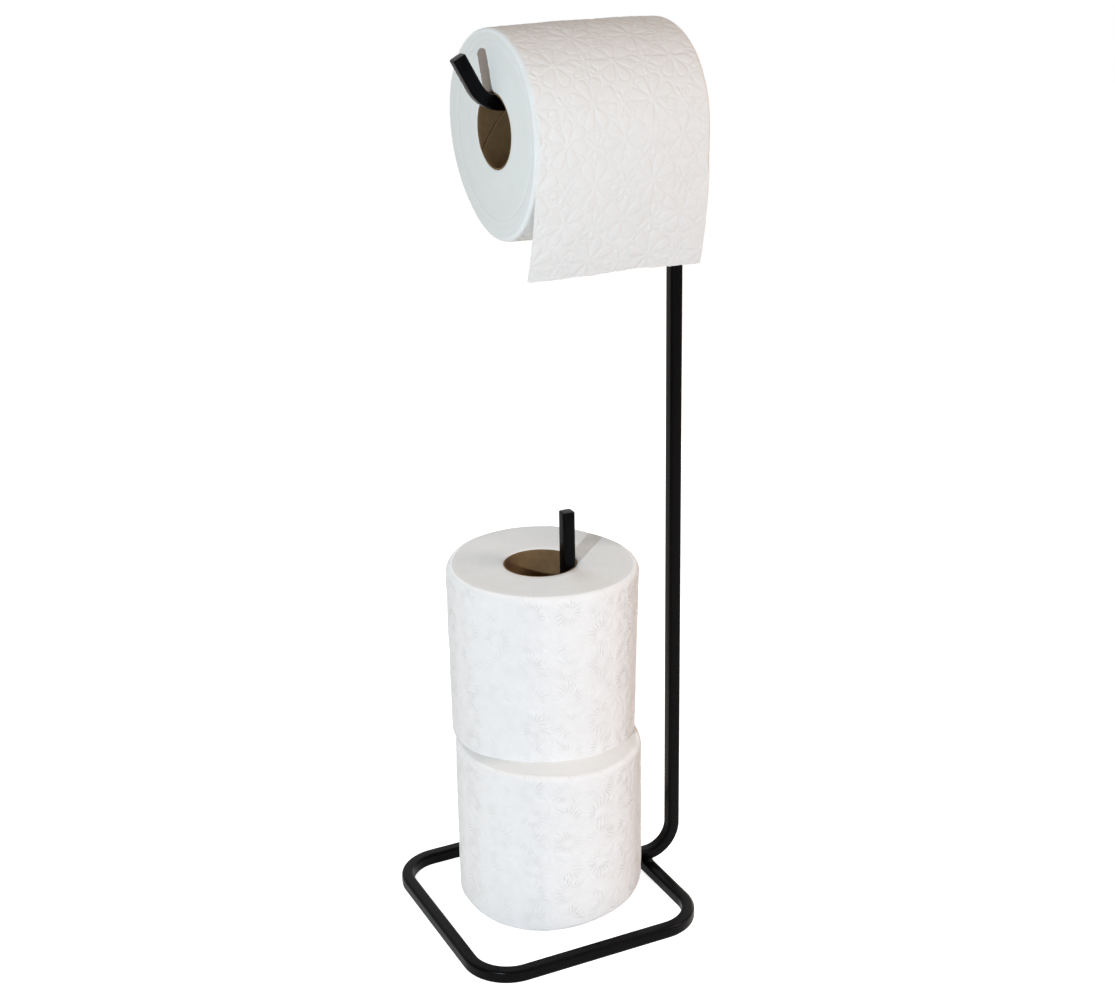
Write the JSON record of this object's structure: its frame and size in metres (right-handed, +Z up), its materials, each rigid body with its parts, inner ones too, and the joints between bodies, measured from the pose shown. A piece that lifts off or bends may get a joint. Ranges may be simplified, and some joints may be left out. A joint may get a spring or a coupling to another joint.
{
  "type": "freestanding toilet paper holder",
  "caption": "Free-standing toilet paper holder bent from square steel bar, with an arm for the roll in use, a peg for spare rolls, and paper rolls fitted.",
  "frame": {"origin": "on the floor, below the middle of the outline's box", "axes": "+Z up along the post; +X from the arm's tip towards the post; -Y is the front, where the paper hangs"},
  "size_m": [0.1646, 0.1466, 0.5155],
  "materials": {
    "black_powder_coat": "satin",
    "tissue_paper": "matte",
    "core_cardboard": "matte"
  },
  "bodies": {
    "holder": {"base_ring": "black_powder_coat", "main_bar": "black_powder_coat", "spindle": "black_powder_coat", "foot_weld_front": "black_powder_coat", "foot_weld_rear": "black_powder_coat", "spindle_weld": "black_powder_coat"},
    "lower_spare_roll": {"lower_spare_core": "core_cardboard", "lower_spare_winding": "tissue_paper"},
    "upper_spare_roll": {"upper_spare_core": "core_cardboard", "upper_spare_winding": "tissue_paper"},
    "hung_sheet": {"hanging_sheet": "tissue_paper"},
    "hung_roll": {"hung_core": "core_cardboard", "hung_winding": "tissue_paper"}
  },
  "joints": [
    {"name": "lower_spare_lift", "type": "slide", "parent": "holder", "child": "lower_spare_roll", "axis": [0, 0, 1], "range_m": [0, 0.036]},
    {"name": "upper_spare_lift", "type": "slide", "parent": "lower_spare_roll", "child": "upper_spare_roll", "axis": [0, 0, 1], "range_m": [0, 0.134]},
    {"name": "hung_roll_lift", "type": "slide", "parent": "holder", "child": "hung_sheet", "axis": [-0.4848, 0, 0.8746], "range_m": [0, 0.031]},
    {"name": "hung_roll_turn", "type": "hinge", "parent": "hung_sheet", "child": "hung_roll", "pos_m": [0.0209, 0, 0.46203], "axis": [1, 0, 0], "continuous": true}
  ]
}
